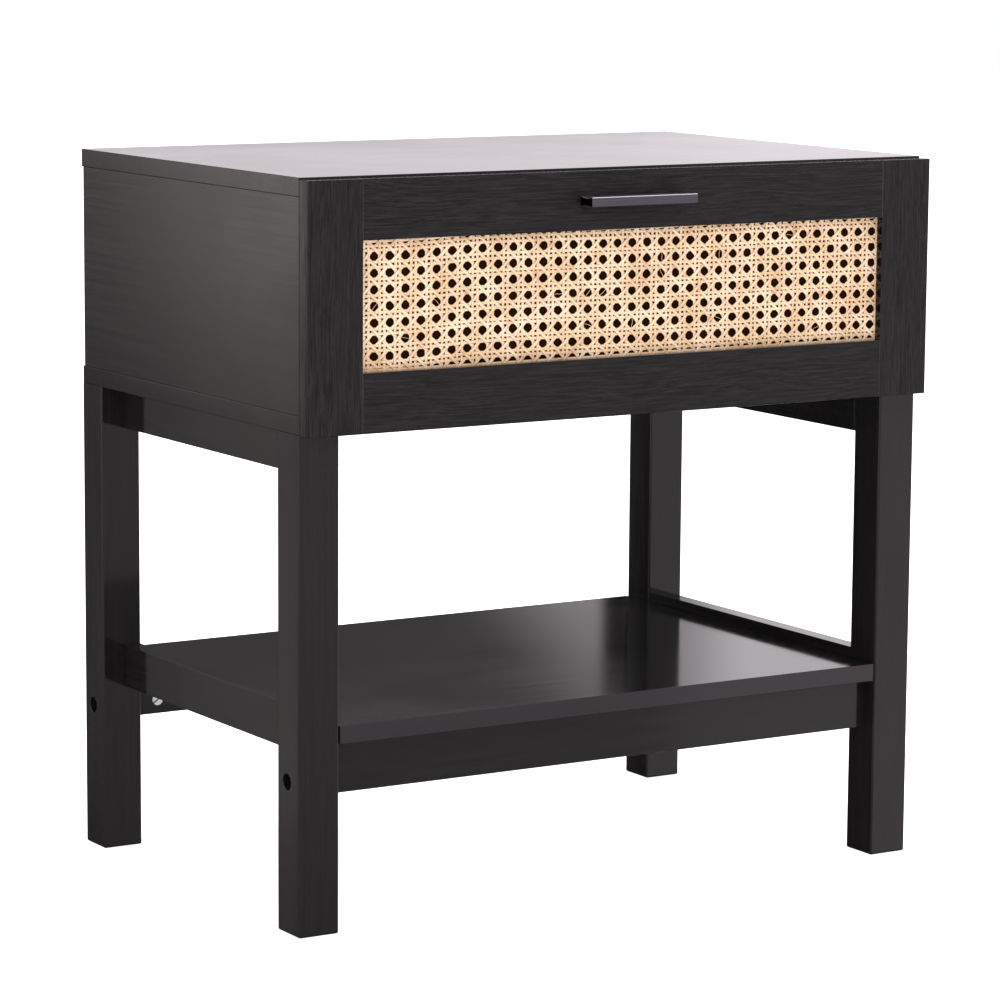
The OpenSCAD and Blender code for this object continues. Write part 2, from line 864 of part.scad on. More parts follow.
module slide_drawer(side) {
    color(zinc) on_side(side) difference() {
        channel(slide_t - steel_t, steel_t, inner_flange, slide_t, inner_half, steel_t, slide_y0, slide_len);
        for (y = slide_screw_ys) rod_x([box_x - over, y, slide_z], steel_t + 2 * over, screw_r + slack);
    }
}

// A strip cage with a row of balls at its top and at its bottom
module ball_cage(web_t0, lip_t1, ball_t, ball_z) {
    ball_pitch = cage_len / balls;
    half_h = ball_z + cage_t / 2;
    difference() {
        channel(web_t0, cage_t, web_t0, lip_t1, half_h, cage_t, cage_y0, cage_len);
        for (i = [0:balls - 1])
            rod_z([inner_x - ball_t, cage_y0 + (i + 0.5) * ball_pitch, slide_z - half_h - over],
                2 * (half_h + over), ball_r + ball_play);
    }
    for (i = [0:balls - 1])
        for (s = [-1, 1])
            translate([inner_x - ball_t, cage_y0 + (i + 0.5) * ball_pitch, slide_z + s * ball_z])
                sphere(r = ball_r, $fn = 16);
}

module outer_cage(side) {
    color(zinc) on_side(side) ball_cage(2.3, 8, 5.9, 19.4);
}

module inner_cage(side) {
    color(zinc) on_side(side) ball_cage(5.1, 10.8, 8.6, 14.4);
}

module slide_carcass_left() {
    slide_carcass(-1);
}

module slide_carcass_right() {
    slide_carcass(1);
}

module slide_middle_left() {
    slide_middle(-1);
}

module slide_middle_right() {
    slide_middle(1);
}

module slide_drawer_left() {
    slide_drawer(-1);
}

module slide_drawer_right() {
    slide_drawer(1);
}

module slide_outer_cage_left() {
    outer_cage(-1);
}

module slide_outer_cage_right() {
    outer_cage(1);
}

module slide_inner_cage_left() {
    inner_cage(-1);
}

module slide_inner_cage_right() {
    inner_cage(1);
}

// Thin-headed screws through the carcass members into the side panels
module slide_wall_screws() {
    color(zinc) both_sides() for (y = slide_screw_ys) {
        rod_x([inner_x - steel_t - slide_head_t, y, slide_z], slide_head_t, slide_head_r);
        rod_x([inner_x - steel_t, y, slide_z], steel_t + slide_screw_in, screw_r);
    }
}

// Thin-headed screws through the drawer members into the box sides
module slide_drawer_screws() {
    color(zinc) both_sides() for (y = slide_screw_ys) {
        rod_x([box_x + steel_t, y, slide_z], slide_head_t, slide_head_r);
        rod_x([box_x - slide_screw_in, y, slide_z], slide_screw_in + steel_t, screw_r);
    }
}

top_panel();
bottom_panel();
side_panel_left();
side_panel_right();
back_panel();
carcass_dowels();
cam_locks();
cam_bolts();
back_panel_screws();
leg_front_left();
leg_front_right();
leg_back_left();
leg_back_right();
apron_left();
apron_right();
side_rail_left();
side_rail_right();
shelf();
front_stretcher();
back_stretcher();
side_frame_dowels();
stretcher_dowels();
shelf_dowels();
stretcher_bolts();
barrel_nuts();
leg_top_bolts();
leg_inserts();
foot_glides();
stile_left();
stile_right();
top_rail();
bottom_rail();
front_frame_dowels();
cane_panel();
cane_backing();
cane_beads();
drawer_pull();
pull_screws();
box_side_left();
box_side_right();
box_front();
box_back();
box_bottom();
box_dowels();
box_bottom_screws();
front_fixing_screws();
slide_carcass_left();
slide_carcass_right();
slide_middle_left();
slide_middle_right();
slide_drawer_left();
slide_drawer_right();
slide_outer_cage_left();
slide_outer_cage_right();
slide_inner_cage_left();
slide_inner_cage_right();
slide_wall_screws();
slide_drawer_screws();
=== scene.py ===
"""Looks for a one-drawer nightstand with a cane front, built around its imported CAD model."""

import math
import random

import bpy
from mathutils import Matrix, Vector


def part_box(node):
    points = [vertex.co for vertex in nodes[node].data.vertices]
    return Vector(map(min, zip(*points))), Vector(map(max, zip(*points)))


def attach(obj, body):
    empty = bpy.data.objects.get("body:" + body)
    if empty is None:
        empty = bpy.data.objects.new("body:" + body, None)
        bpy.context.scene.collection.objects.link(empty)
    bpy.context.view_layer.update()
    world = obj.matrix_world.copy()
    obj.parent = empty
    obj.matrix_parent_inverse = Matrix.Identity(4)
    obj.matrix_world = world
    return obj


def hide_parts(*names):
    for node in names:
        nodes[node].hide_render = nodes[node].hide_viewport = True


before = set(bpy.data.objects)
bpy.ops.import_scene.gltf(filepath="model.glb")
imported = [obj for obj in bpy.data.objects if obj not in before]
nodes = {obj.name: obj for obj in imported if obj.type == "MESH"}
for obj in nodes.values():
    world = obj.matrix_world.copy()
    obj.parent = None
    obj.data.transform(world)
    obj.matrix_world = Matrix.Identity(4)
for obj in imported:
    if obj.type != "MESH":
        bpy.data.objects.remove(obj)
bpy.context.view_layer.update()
MM = 0.001

# ---- Shader helpers ----


class Shader:
    """A material's node tree, with short calls for the nodes used here."""

    def __init__(self, name):
        self.material = bpy.data.materials.new(name)
        self.material.use_nodes = True
        self.tree = self.material.node_tree
        self.surface = self.tree.nodes["Principled BSDF"]
        self.place = self.node("ShaderNodeTexCoord").outputs["Object"]

    def node(self, kind, inputs=None, **settings):
        """A new node with its settings and its inputs, each a number, a colour or a socket."""
        made = self.tree.nodes.new(kind)
        for key, value in settings.items():
            setattr(made, key, value)
        for key, value in (inputs or {}).items():
            self.feed(made.inputs[key], value)
        return made

    def feed(self, socket, value):
        """Links value to the socket, or sets it there if it isn't a socket."""
        if isinstance(value, bpy.types.NodeSocket):
            self.tree.links.new(value, socket)
        else:
            socket.default_value = value

    def sum(self, operation, *values, clamp=False):
        """The output of a Math node."""
        made = self.node("ShaderNodeMath", dict(enumerate(values)), operation=operation, use_clamp=clamp)
        return made.outputs[0]

    def noise(self, scale, stretch=(1, 1, 1), detail=3, rough=0.55, shift=None, seed=0.0):
        """Noise over the piece, with its own scale along each axis. shift is added to the place first."""
        place = self.place
        if shift is not None:
            place = self.node("ShaderNodeVectorMath", {0: place, 1: shift}, operation="ADD").outputs[0]
        mapped = self.node("ShaderNodeMapping", {"Vector": place, "Scale": stretch, "Location": (seed,) * 3})
        made = self.node(
            "ShaderNodeTexNoise",
            {"Vector": mapped.outputs[0], "Scale": scale, "Detail": detail, "Roughness": rough},
        )
        return made.outputs["Fac"]

    def spread(self, value, low, high, start=0.3, end=0.7):
        """A value's range start to end turned into low to high."""
        made = self.node(
            "ShaderNodeMapRange",
            {"Value": value, "From Min": start, "From Max": end, "To Min": low, "To Max": high},
            interpolation_type="SMOOTHSTEP",
        )
        return made.outputs[0]

    def blend(self, share, first, second, kind="MIX"):
        """A colour mix."""
        made = self.node("ShaderNodeMix", data_type="RGBA", blend_type=kind)
        self.feed(made.inputs[0], share)
        self.feed(made.inputs[6], first)
        self.feed(made.inputs[7], second)
        return made.outputs[2]

    def bump(self, height, depth, normal=None):
        """A bump of that depth in metres, on top of another one if given."""
        made = self.node("ShaderNodeBump", {"Height": height, "Distance": depth, "Strength": 1.0})
        if normal is not None:
            self.feed(made.inputs["Normal"], normal)
        return made.outputs[0]

    def split(self, vector):
        """A vector's X, Y and Z."""
        return self.node("ShaderNodeSeparateXYZ", {0: vector}).outputs

    def facing(self):
        """The surface's normal as X, Y and Z."""
        return self.split(self.node("ShaderNodeNewGeometry").outputs["Normal"])

    def forward(self):
        """1 on faces towards the front, 0 elsewhere."""
        return self.spread(self.facing()[1], 1, 0, -0.95, -0.8)

    def finish(self, **inputs):
        """Sets the surface's inputs, named with _ for a space, and gives the material."""
        for key, value in inputs.items():
            name = key.replace("_", " ").title().replace("Ior", "IOR")
            self.feed(self.surface.inputs[name], value)
        return self.material


def rgb(red, green, blue):
    """A linear colour from sRGB values of 0 to 255."""

    def linear(value):
        share = value / 255
        return share / 12.92 if share <= 0.04045 else ((share + 0.055) / 1.055) ** 2.4

    return (linear(red), linear(green), linear(blue), 1.0)


def along(axis, fine, coarse):
    """Stretch for a grain along an axis: coarse along it and fine across it."""
    return tuple(coarse if i == axis else fine for i in range(3))


# ---- Materials ----

X, Y, Z = 0, 1, 2
BLACK = rgb(12, 11, 11)
# Where the stiles meet the rails of the drawer front, to either side
SEAM_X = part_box("stile_right")[0].x
OPENING_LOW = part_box("bottom_rail")[1].z
OPENING_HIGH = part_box("top_rail")[0].z


def lacquered_board(name, axis, seed, front=None):
    """Black lacquer over close-grained wood, with its faint grain along axis. front is the colour of its
    front face if that differs."""
    s = Shader(name)
    cloud = s.noise(6, seed=seed)
    streaks = s.noise(1, along(axis, 420, 9), detail=4, seed=seed)
    dust = s.noise(2400, detail=2, seed=seed)
    colour = s.blend(s.spread(streaks, 0, 1), BLACK, rgb(20, 18, 19))
    colour = s.blend(s.spread(dust, 0, 0.4, 0.5, 0.8), colour, rgb(40, 37, 39))
    if front:
        colour = s.blend(s.forward(), colour, front)
    rough = s.sum("ADD", s.spread(cloud, 0.07, 0.1), s.spread(streaks, 0.0, 0.03))
    normal = s.bump(streaks, 0.002 * MM, s.bump(dust, 0.0005 * MM))
    return s.finish(base_color=colour, roughness=rough, ior=1.5, normal=normal)


def seams(s):
    """1 on the front faces where a stile and a rail meet, 0 elsewhere."""
    x, _, z = s.split(s.place)
    aside = s.sum("ABSOLUTE", s.sum("SUBTRACT", s.sum("ABSOLUTE", x), SEAM_X))
    line = s.spread(aside, 1, 0, 0.1 * MM, 0.4 * MM)
    over = s.sum("ABSOLUTE", s.sum("SUBTRACT", z, (OPENING_LOW + OPENING_HIGH) / 2))
    half = (OPENING_HIGH - OPENING_LOW) / 2
    beyond = s.spread(over, 0, 1, half, half + 0.5 * MM)
    return s.sum("MULTIPLY", s.sum("MULTIPLY", line, beyond), s.forward())


def embossed_board(name, axis, seed):
    """Black foil embossed with an open wood grain, for the drawer front, paler at its seams and glossier
    on its narrow faces."""
    s = Shader(name)
    sway = s.noise(1, along(axis, 14, 4), detail=2, seed=seed)
    sway = s.sum("MULTIPLY", s.sum("SUBTRACT", sway, 0.5), 0.02)
    shift = s.node("ShaderNodeCombineXYZ", {i: 0.0 if i == axis else sway for i in range(3)}).outputs[0]
    figure = s.noise(1, along(axis, 190, 5), detail=3, shift=shift, seed=seed)
    streaks = s.noise(1, along(axis, 900, 24), detail=3, shift=shift, seed=seed)
    pores = s.noise(1, along(axis, 2200, 130), detail=2, shift=shift, seed=seed)
    fine = s.sum("MULTIPLY_ADD", pores, 0.45, streaks)
    raised = s.spread(fine, 0, 1, 0.6, 0.88)
    colour = s.blend(raised, rgb(4, 4, 4), rgb(30, 24, 28))
    colour = s.blend(s.spread(figure, 0, 0.4), colour, rgb(22, 18, 21))
    colour = s.blend(seams(s), colour, rgb(70, 67, 70))
    forward = s.forward()
    rough = s.sum("MULTIPLY", s.spread(fine, 0.5, 0.36, 0.55, 1.0), s.spread(forward, 0.25, 1, 0, 1))
    relief = s.sum("MULTIPLY", raised, forward)
    swell = s.sum("MULTIPLY", figure, forward)
    normal = s.bump(relief, 0.035 * MM, s.bump(swell, 0.04 * MM))
    return s.finish(base_color=colour, roughness=rough, ior=1.4, normal=normal)


def cane_material():
    """Split rattan: straw with peach and rusty tints, fine fibres, painted shade darkening the strands'
    edges to brown, and a natural shine.
    """
    s = Shader("cane")
    tint = s.noise(38, detail=3)
    rust = s.noise(85, detail=2, seed=3.0)
    fibre = s.noise(900, detail=3, seed=7.0)
    tone = s.node("ShaderNodeAttribute", attribute_name="strand_tone").outputs["Fac"]
    rim_shade = s.node("ShaderNodeAttribute", attribute_name="strand_rim_shade").outputs["Fac"]
    colour = s.blend(s.spread(tint, 0, 1), rgb(232, 205, 176), rgb(206, 172, 134))
    colour = s.blend(s.sum("MULTIPLY", tone, 0.4), colour, rgb(194, 154, 118))
    colour = s.blend(s.spread(rust, 0, 0.5, 0.6, 0.75), colour, rgb(176, 122, 84))
    colour = s.blend(s.spread(fibre, 0.15, 0, 0.3, 0.6), colour, rgb(160, 112, 74))
    # painted shade: each strand's edges are darkened to brown where they curve away from the light
    colour = s.blend(s.sum("MULTIPLY", rim_shade, 0.95), colour, rgb(84, 46, 22))
    return s.finish(
        base_color=colour, roughness=s.spread(fibre, 0.36, 0.5), ior=1.5, normal=s.bump(fibre, 0.05 * MM)
    )


def speckled(name, dark, light, low, high, scale, depth, metallic=0.0, specular=0.5):
    """A surface of two close tones with fine unevenness, for metal, plastic and hardboard."""
    s = Shader(name)
    cloud = s.noise(scale * 0.05, detail=3)
    fine = s.noise(scale, detail=3)
    colour = s.blend(s.spread(cloud, 0, 1), dark, light)
    rough = s.sum("ADD", s.spread(cloud, low, high), s.spread(fine, 0, 0.06))
    return s.finish(
        base_color=colour,
        roughness=rough,
        metallic=metallic,
        specular_ior_level=specular,
        normal=s.bump(fine, depth * MM),
    )


def brushed(name, axis, dark, light, low, high, metallic):
    """Metal drawn along an axis, with fine lines."""
    s = Shader(name)
    lines = s.noise(1, along(axis, 2600, 30), detail=3)
    cloud = s.noise(40, detail=2)
    colour = s.blend(s.spread(lines, 0, 1), dark, light)
    rough = s.sum("ADD", s.spread(cloud, low, high), s.spread(lines, 0, 0.06))
    return s.finish(base_color=colour, roughness=rough, metallic=metallic, normal=s.bump(lines, 0.01 * MM))


def plywood(name, axis):
    """Pale birch with a soft figure along axis."""
    s = Shader(name)
    figure = s.noise(1, along(axis, 70, 3), detail=4)
    pores = s.noise(1, along(axis, 900, 30), detail=3)
    colour = s.blend(s.spread(figure, 0, 1), rgb(226, 200, 160), rgb(205, 172, 128))
    colour = s.blend(s.spread(pores, 0.35, 0, 0.35, 0.6), colour, rgb(170, 132, 90))
    return s.finish(base_color=colour, roughness=s.spread(pores, 0.6, 0.5), normal=s.bump(pores, 0.03 * MM))


def bar_metal():
    """Satin grey metal drawn along X, with a painted highlight on its upper arris and its ends painted near
    black as shade.
    """
    s = Shader("pull_metal")
    lines = s.noise(1, along(X, 2600, 30), detail=3)
    cloud = s.noise(40, detail=2)
    aside, _, upward = s.facing()
    end = s.spread(s.sum("ABSOLUTE", aside), 0, 1, 0.75, 0.95)
    arris_highlight = s.sum("MULTIPLY", s.spread(upward, 0, 1, 0.1, 0.35), s.spread(upward, 1, 0, 0.92, 0.98))
    colour = s.blend(s.spread(lines, 0, 1), rgb(92, 88, 98), rgb(106, 102, 111))
    # painted highlight: faces tilting up at the upper arris are made pale grey
    colour = s.blend(arris_highlight, colour, rgb(212, 209, 217))
    # painted shade: the end faces are made near black
    colour = s.blend(end, colour, rgb(14, 13, 13))
    rough = s.sum("ADD", s.spread(cloud, 0.26, 0.32), s.spread(lines, 0, 0.05))
    return s.finish(base_color=colour, roughness=rough, metallic=0.9, normal=s.bump(lines, 0.004 * MM))


def nut_metal():
    """Bright zinc with painted shade making its recessed driver slots near black; the slots lie further from
    the piece's middle than the nuts' faces.
    """
    s = Shader("nut_metal")
    low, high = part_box("barrel_nuts")
    middle = (low.y + high.y) / 2
    piece = nodes["barrel_nuts"]
    faces = min(abs((piece.matrix_world @ v.co).y - middle) for v in piece.data.vertices)
    cloud = s.noise(45, detail=3)
    fine = s.noise(900, detail=3)
    away = s.sum("ABSOLUTE", s.sum("SUBTRACT", s.split(s.place)[1], middle))
    slot_shade = s.spread(away, 0, 1, faces + 0.2 * MM, faces + 0.5 * MM)
    colour = s.blend(s.spread(cloud, 0, 1), rgb(222, 230, 238), rgb(240, 245, 250))
    # painted shade: the recessed driver slots are made near black
    colour = s.blend(slot_shade, colour, rgb(10, 10, 11))
    rough = s.sum("ADD", s.spread(cloud, 0.3, 0.4), s.spread(fine, 0, 0.06))
    return s.finish(base_color=colour, roughness=rough, metallic=0.5, normal=s.bump(fine, 0.01 * MM))


BOARDS = {
    "top_panel": X,
    "bottom_panel": X,
    "side_panel_left": Y,
    "side_panel_right": Y,
    "leg_front_left": Z,
    "leg_front_right": Z,
    "leg_back_left": Z,
    "leg_back_right": Z,
    "apron_left": Y,
    "apron_right": Y,
    "side_rail_left": Y,
    "side_rail_right": Y,
    "shelf": X,
    "front_stretcher": X,
    "back_stretcher": X,
}
FRONT_BOARDS = {"stile_left": Z, "stile_right": Z, "top_rail": X, "bottom_rail": X, "cane_beads": X}
BOX_BOARDS = {"box_side_left": Y, "box_side_right": Y, "box_front": X, "box_back": X, "box_bottom": X}

zinc = speckled("zinc", rgb(176, 178, 182), rgb(206, 207, 208), 0.24, 0.34, 900, 0.01, metallic=1.0)
beech = plywood("beech", X)
backing = speckled("backing", rgb(20, 10, 4), rgb(28, 14, 5), 0.8, 0.9, 1400, 0.03, specular=0.0)
black_board = speckled("hardboard", rgb(12, 10, 9), rgb(18, 15, 13), 0.6, 0.72, 1400, 0.03)
nylon = speckled("nylon", rgb(225, 224, 216), rgb(236, 235, 228), 0.4, 0.5, 700, 0.02)
black_steel = speckled("black_steel", rgb(20, 20, 21), rgb(34, 33, 34), 0.35, 0.45, 1200, 0.01, metallic=0.6)
slide_steel = brushed("slide_steel", Y, rgb(168, 170, 174), rgb(204, 205, 207), 0.26, 0.36, 1.0)
pull_metal = bar_metal()


def paint(name, material):
    """Puts the material on a CAD node."""
    piece = nodes[name]
    for i in range(len(piece.material_slots)):
        piece.material_slots[i].link = "OBJECT"
        piece.material_slots[i].material = material


def ease(name, width, segments=2):
    """Rounds a CAD node's arrises a little, in a modifier."""
    piece = nodes[name]
    weld = piece.modifiers.new("weld", "WELD")
    weld.merge_threshold = 0.005 * MM
    flat = piece.modifiers.new("flat", "DECIMATE")
    flat.decimate_type = "DISSOLVE"
    flat.angle_limit = 0.01
    bevel = piece.modifiers.new("ease", "BEVEL")
    bevel.width = width * MM
    bevel.segments = segments
    bevel.limit_method = "ANGLE"
    bevel.angle_limit = math.radians(35)
    bevel.use_clamp_overlap = False
    normals = piece.modifiers.new("normals", "WEIGHTED_NORMAL")
    normals.weight = 100
    normals.keep_sharp = False


for number, (name, axis) in enumerate(BOARDS.items()):
    front = rgb(35, 31, 34) if name == "shelf" else None
    paint(name, lacquered_board("lacquer_" + name, axis, 2.3 * number, front))
    ease(name, 0.2 if "rail" in name else 0.5)
for number, (name, axis) in enumerate(FRONT_BOARDS.items()):
    paint(name, embossed_board("foil_" + name, axis, 1.7 * number))
    ease(name, 0.4)
for name, axis in BOX_BOARDS.items():
    paint(name, plywood("plywood_" + name, axis))
    ease(name, 0.4)
for name in nodes:
    if name.endswith("_dowels"):
        paint(name, beech)
for name in (
    "cam_locks",
    "cam_bolts",
    "back_panel_screws",
    "leg_top_bolts",
    "leg_inserts",
    "pull_screws",
    "box_bottom_screws",
    "front_fixing_screws",
    "slide_wall_screws",
    "slide_drawer_screws",
):
    paint(name, zinc)
for name in nodes:
    if name.startswith("slide_") and "screws" not in name:
        paint(name, slide_steel)
paint("back_panel", black_board)
paint("cane_backing", backing)
paint("barrel_nuts", nut_metal())
paint("stretcher_bolts", black_steel)
paint("foot_glides", nylon)
paint("drawer_pull", pull_metal)
ease("drawer_pull", 0.8, 3)

# ---- Cane webbing ----

chance = random.Random(11)
PITCH_X = 14.2 * MM
PITCH_Z = 13.12 * MM
FIRST_HOLE = Vector((-236.9 * MM, 0, 542.0 * MM))
# Half the distance between the two strands of a pair
PAIR_HALF = {"upright": 2.1 * MM, "level": 1.85 * MM}
WIDTHS = {"upright": 2.6 * MM, "level": 2.5 * MM, "rising": 2.9 * MM, "falling": 2.9 * MM, "stray": 0.3 * MM}
STRAND_T = 0.36 * MM
# A strand's section: how far each point lies across it in widths, and in front of it in thicknesses
LENS = ((-0.5, 0), (-0.36, 0.36), (0, 0.5), (0.36, 0.36), (0.5, 0), (0.36, -0.4), (0, -0.5), (-0.36, -0.4))
# The section's points at a strand's two edges, which get painted shade in the cane material
LENS_RIM_SHADE = (0, 4)
# How far the slanting and the stray strands lie from the middle of the webbing, in strand thicknesses
SLANT_HEIGHT = 1.05
STRAY_HEIGHT = 2.2
# How many stray fibres there are, and over how many columns and rows of holes they are spread
STRAYS = 16
COLUMNS = 33
ROWS = 8
STEP = 1.5 * MM
WANDER = 0.25 * MM
JITTER = 0.06 * MM
# How far the strands' ends and their outer points stay inside the cane panel's outline
INSIDE = 0.3 * MM
SHEET_EDGE = 0.1 * MM
# How far a strand's middle stays inside it, in strand widths
EDGE_SHARE = 0.6
# The shortest slanting strand that is made
SHORTEST = 4 * MM
# The rows lie higher towards the right, and rise and fall a little on the way
BOW_START_X = -220 * MM
BOW_ONSET = 90 * MM
BOW_RISE = 1.9 * MM
BOW_TILT = -0.003
BOW_WAVE = 0.35 * MM
BOW_LENGTH = 300 * MM
BOW_CREST_X = -115 * MM
# How far inside the opening's foot and top an odd level strand lies. The one at the foot is straight.
FOOT_STRAND = 0.6 * MM
TOP_STRAND = 1.6 * MM
cane_low, cane_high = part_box("cane_panel")
cane_y = (cane_low.y + cane_high.y) / 2


def bow(x):
    """How far the rows lie above straight ones at x."""
    share = min(max((x - BOW_START_X) / BOW_ONSET, 0), 1)
    rise = share * share * (3 - 2 * share)
    wave = BOW_WAVE * math.cos(2 * math.pi * (x - BOW_CREST_X) / BOW_LENGTH)
    return rise * (BOW_RISE + BOW_TILT * x + wave)


def weave_height(kind, side, x, z):
    """How far a strand lies in front of the middle of the webbing at a place, in strand thicknesses.
    kind is upright, level, rising or falling, and side picks the strand of a pair."""
    across = (x - FIRST_HOLE.x) / PITCH_X
    up = (z - FIRST_HOLE.z) / PITCH_Z
    if kind == "upright":
        return -0.5 * side * math.sin(2 * math.pi * (up + 0.5))
    if kind == "level":
        return 0.5 * side * math.sin(2 * math.pi * (across + 0.5))
    if kind == "stray":
        return STRAY_HEIGHT
    over = 1 if kind == "rising" else -1
    return over * math.cos(2 * math.pi * up) * SLANT_HEIGHT


def strand(kind, side, start, end):
    """One strand: the points of a lens-shaped ribbon from start to end that follows the weave, and how many
    lengths it has."""
    run = end - start
    count = max(2, int(run.length / STEP))
    aside = Vector((run.z, 0, -run.x)).normalized()
    wave = chance.uniform(0, 6.28)
    width = WIDTHS[kind] * chance.uniform(0.94, 1.06)
    wide = chance.uniform(4, 9)
    straight = kind == "level" and start.z < OPENING_LOW + MM
    points = []
    for i in range(count + 1):
        share = i / count
        middle = start + run * share
        wander = WANDER * math.sin(wave + wide * share) + JITTER * chance.uniform(-1, 1)
        height = weave_height(kind, side, middle.x, middle.z) * STRAND_T
        now = width * (1 + 0.05 * chance.uniform(-1, 1))
        for offset, rise in LENS:
            place = middle + aside * (offset * now + wander)
            lift = 0 if straight else bow(place.x)
            z = min(max(place.z + lift, cane_low.z + SHEET_EDGE), cane_high.z - SHEET_EDGE)
            points.append((place.x, cane_y - height - rise * STRAND_T, z))
    return points, count


def strand_mesh(name, kind, lines):
    """A mesh of strands. Each line is (side, start, end)."""
    points, faces, tones, rim_shades = [], [], [], []
    ring = len(LENS)
    for side, start, end in lines:
        made, count = strand(kind, side, start, end)
        base = len(points)
        points += made
        tones += [chance.random()] * len(made)
        # marks the edge points that get painted shade
        rim_shades += [1.0 if i % ring in LENS_RIM_SHADE else 0.0 for i in range(len(made))]
        for i in range(count):
            for k in range(ring):
                a = base + i * ring + k
                b = base + i * ring + (k + 1) % ring
                faces.append((a, a + ring, b + ring, b))
        faces.append(tuple(base + k for k in range(ring)))
        faces.append(tuple(base + count * ring + k for k in reversed(range(ring))))
    mesh = bpy.data.meshes.new(name)
    mesh.from_pydata(points, [], faces)
    mesh.update()
    tone = mesh.attributes.new("strand_tone", "FLOAT", "POINT")
    tone.data.foreach_set("value", tones)
    rim_shade = mesh.attributes.new("strand_rim_shade", "FLOAT", "POINT")
    rim_shade.data.foreach_set("value", rim_shades)
    mesh.polygons.foreach_set("use_smooth", [len(f) == 4 for f in faces])
    piece = bpy.data.objects.new(name, mesh)
    bpy.context.scene.collection.objects.link(piece)
    return piece


def crossing_lines(kind):
    """The lines of one set of strands inside the cane panel, as (side, start, end)."""
    x0, x1 = cane_low.x + INSIDE, cane_high.x - INSIDE
    z0, z1 = cane_low.z + INSIDE, cane_high.z - INSIDE
    lines = []
    if kind in ("upright", "level"):
        upright = kind == "upright"
        first, pitch = (FIRST_HOLE.x, PITCH_X) if upright else (FIRST_HOLE.z, PITCH_Z)
        low, high = (x0, x1) if upright else (z0, z1)
        margin = WIDTHS[kind] * EDGE_SHARE
        for k in range(int((low - first) / pitch) - 2, int((high - first) / pitch) + 2):
            for side in (-1, 1):
                at = first + (k + 0.5) * pitch + side * PAIR_HALF[kind]
                if low + margin < at < high - margin:
                    ends = [(at, z0), (at, z1)] if upright else [(x0, at), (x1, at)]
                    lines.append((side, *[Vector((x, 0, z)) for x, z in ends]))
        if not upright:
            for at in (OPENING_LOW + FOOT_STRAND, OPENING_HIGH - TOP_STRAND):
                lines.append((1, Vector((x0, 0, at)), Vector((x1, 0, at))))
        return lines
    slope = PITCH_Z / PITCH_X * (1 if kind == "rising" else -1)
    for n in range(-COLUMNS - ROWS, 2 * COLUMNS):
        x_zero = FIRST_HOLE.x + (n + 0.5) * PITCH_X
        ends = []
        for z in (z0, z1):
            x = min(max(x_zero + (z - FIRST_HOLE.z) / slope, x0), x1)
            ends.append(Vector((x, 0, FIRST_HOLE.z + (x - x_zero) * slope)))
        if (ends[1] - ends[0]).length > SHORTEST:
            lines.append((1, *ends))
    return lines


def stray_lines():
    """A few thin fibres that cross the holes."""
    lines = []
    for _ in range(STRAYS):
        column = chance.randrange(COLUMNS)
        row = chance.randrange(ROWS)
        middle = Vector((FIRST_HOLE.x + column * PITCH_X, 0, FIRST_HOLE.z - row * PITCH_Z))
        angle = chance.uniform(0, math.pi)
        half = Vector((math.cos(angle), 0, math.sin(angle))) * chance.uniform(3, 5) * MM
        lines.append((1, middle - half, middle + half))
    return lines


cane = cane_material()
for kind in ("upright", "level", "rising", "falling", "stray"):
    lines = stray_lines() if kind == "stray" else crossing_lines(kind)
    piece = strand_mesh("cane_" + kind, kind, lines)
    piece.data.materials.append(cane)
    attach(piece, "drawer")
    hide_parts("cane_panel")

# ---- Camera ----

SENSOR = 36
FOCAL_SHARE = 4.00848
YAW = math.radians(31.5813)
PITCH = math.radians(-8.6424)
ROLL = math.radians(0.4096)
CAMERA_PLACE = Vector((-1.78719, -2.89621, 0.82497))
camera_data = bpy.data.cameras.new("camera")
camera_data.sensor_width = SENSOR
camera_data.lens = SENSOR * FOCAL_SHARE
camera = bpy.data.objects.new("camera", camera_data)
forward = Vector((math.sin(YAW) * math.cos(PITCH), math.cos(YAW) * math.cos(PITCH), math.sin(PITCH)))
level = forward.cross(Vector((0, 0, 1))).normalized()
above = level.cross(forward)
right = level * math.cos(ROLL) + above * math.sin(ROLL)
up = above * math.cos(ROLL) - level * math.sin(ROLL)
turn = Matrix((right, up, -forward)).transposed().to_4x4()
camera.matrix_world = Matrix.Translation(CAMERA_PLACE) @ turn
bpy.context.scene.collection.objects.link(camera)
bpy.context.scene.camera = camera

# ---- Studio ----

scene = bpy.context.scene
scene.view_settings.view_transform = "Standard"
scene.view_settings.look = "None"


def hide_from(piece, *rays):
    """Keeps a stage object out of some kinds of ray."""
    for ray in rays:
        setattr(piece, "visible_" + ray, False)


def plane(name, centre, width, height, facing):
    """A stage rectangle that faces a direction, with its own X to the right of it and its own Y up."""
    mesh = bpy.data.meshes.new(name)
    half_w, half_h = width / 2, height / 2
    corners = [(-half_w, -half_h, 0), (half_w, -half_h, 0), (half_w, half_h, 0), (-half_w, half_h, 0)]
    mesh.from_pydata(corners, [], [(0, 1, 2, 3)])
    piece = bpy.data.objects.new(name, mesh)
    turned = Vector(facing).to_track_quat("Z", "Y").to_matrix().to_4x4()
    piece.matrix_world = Matrix.Translation(centre) @ turned
    bpy.context.scene.collection.objects.link(piece)
    return piece


def glow(name, colour, build):
    """An emission material. build gets the shader and gives the strength."""
    s = Shader(name)
    output = s.tree.nodes["Material Output"]
    s.tree.nodes.remove(s.surface)
    light = s.node("ShaderNodeEmission", {"Color": colour, "Strength": build(s)})
    s.tree.links.new(light.outputs[0], output.inputs[0])
    return s.material


world = bpy.data.worlds.new("studio")
world.use_nodes = True
scene.world = world
world.node_tree.nodes["Background"].inputs["Color"].default_value = (1, 1, 1, 1)
world.node_tree.nodes["Background"].inputs["Strength"].default_value = 1.0
world.cycles_visibility.glossy = False

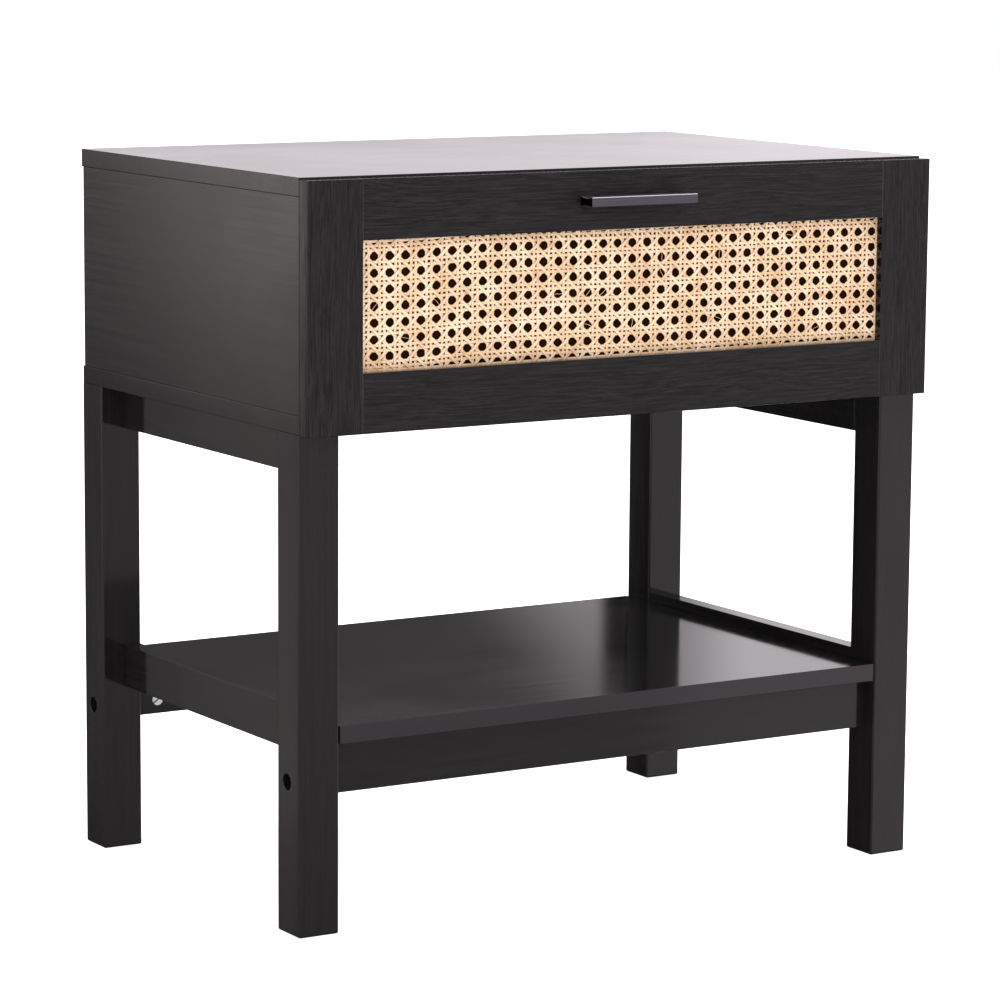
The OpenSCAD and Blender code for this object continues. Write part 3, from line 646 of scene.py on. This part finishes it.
floor = plane("floor", (0, 0, 0), 24, 24, (0, 0, 1))
s = Shader("floor")
grit = s.noise(3, detail=2)
floor.data.materials.append(
    s.finish(
        base_color=s.blend(grit, rgb(246, 246, 246), rgb(250, 250, 250)),
        roughness=0.9,
        emission_color=(1, 1, 1, 1),
        emission_strength=0.85,
    )
)
s.surface.inputs["Specular IOR Level"].default_value = 0.0
hide_from(floor, "glossy")


def card(name, centre, width, height, facing, build, colour=(1.0, 0.94, 0.98, 1.0)):
    """A glowing card that only shows in reflections."""
    piece = plane(name, centre, width, height, facing)
    piece.data.materials.append(glow(name, colour, build))
    hide_from(piece, "camera", "diffuse", "shadow", "transmission", "volume_scatter")


def world_place(s):
    """The world X, Y and Z of the shaded point, for stage cards."""
    return s.split(s.node("ShaderNodeNewGeometry").outputs["Position"])


def back_glow(s):
    """Bright above the top's level, and below it dark on the left and bright on the right."""
    x, _, z = world_place(s)
    high = s.spread(z, 0.0, 1.0, 0.66, 0.7)
    above = s.spread(x, 0.98, 1.12, 0.4, 1.7)
    lean = s.sum("SUBTRACT", x, s.sum("MULTIPLY", s.sum("SUBTRACT", z, 0.52), 0.9))
    below = s.sum("ADD", s.spread(lean, 0.1, 0.6, 0.96, 1.2), s.spread(x, 0.0, 0.6, 1.25, 1.4))
    stripe = s.spread(s.sum("ABSOLUTE", s.sum("SUBTRACT", x, 1.17)), 0.0, 1.0, 0.022, 0.035)
    below = s.sum("MULTIPLY", below, stripe)
    low = s.sum("SUBTRACT", 1.0, high)
    return s.sum("ADD", s.sum("MULTIPLY", high, above), s.sum("MULTIPLY", low, below))


def left_glow(s):
    """Brightest behind the piece and higher up, and dark just beside it."""
    _, y, z = world_place(s)
    beside = s.sum("ADD", s.spread(y, 0.04, 1.0, 13.0, 13.8), s.spread(y, 0.6, 0.0, 8.0, 10.0))
    behind = s.spread(y, 1.2, 0.28, 13.8, 16.3)
    height = s.sum("ADD", s.spread(z, 0.22, 0.42, -4.2, -3.4), s.spread(z, 0.0, 0.95, -2.0, -0.2))
    return s.sum("MULTIPLY", s.sum("MULTIPLY", beside, behind), height)


def front_glow(s):
    """Even, and weaker towards the floor."""
    return s.spread(world_place(s)[2], 0.3, 0.54, -1.5, -0.35)


card("back_card", (1.9, 1.6, 1.5), 4.4, 5, (0, -1, 0), back_glow)
card("left_card", (-8.0, 4.0, 0.0), 30, 14, (1, 0, 0), left_glow, (1.0, 0.94, 0.92, 1.0))
card("front_card", (0, -4.5, 0.5), 14, 7, (0, 1, 0), front_glow)
card("right_card", (3.0, 0, 1.5), 12, 7, (-1, 0, 0), lambda s: 0.8)
card("ceiling_card", (0, 0, 3.4), 8, 8, (0, 0, -1), lambda s: 1.4)


def softbox(name, place, target, size, power):
    """A soft square light aimed at a point."""
    light = bpy.data.lights.new(name, "AREA")
    light.shape = "SQUARE"
    light.size = size
    light.energy = power
    piece = bpy.data.objects.new(name, light)
    piece.location = place
    piece.rotation_euler = (Vector(target) - Vector(place)).to_track_quat("-Z", "Y").to_euler()
    piece.visible_glossy = False
    bpy.context.scene.collection.objects.link(piece)


softbox("key", (-2.2, -2.6, 2.6), (0, 0, 0.3), 2.0, 60)
softbox("top", (0.3, 0.6, 3.0), (0, 0, 0.3), 2.6, 50)
